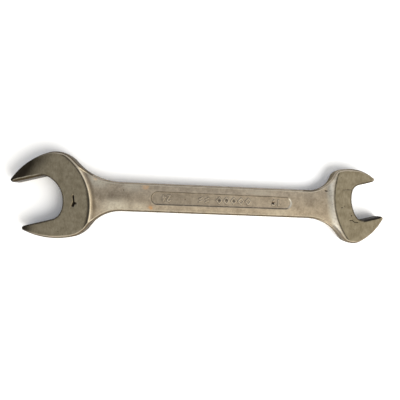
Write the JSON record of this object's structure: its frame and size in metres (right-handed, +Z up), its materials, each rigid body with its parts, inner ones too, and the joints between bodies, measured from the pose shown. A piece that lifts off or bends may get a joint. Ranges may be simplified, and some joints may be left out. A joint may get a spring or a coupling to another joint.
{
  "type": "double open-ended spanner",
  "caption": "Forged open-ended spanner: a fixed open jaw at each end, set at a small angle to a flat crowned handle with a sunk panel.",
  "frame": {"origin": "under the middle of the spanner, on the surface that it lies on", "axes": "+X along the handle from the large jaw to the small one, +Y across it, +Z up through its thickness"},
  "size_m": [0.2045, 0.0476, 0.0105],
  "materials": {
    "ground_heads": "plated over ground faces, worn and dulled",
    "satin_handle": "satin plating over a forged surface"
  },
  "bodies": {
    "root": {"large_head": "ground_heads", "handle": "satin_handle", "small_head": "ground_heads"}
  },
  "joints": []
}
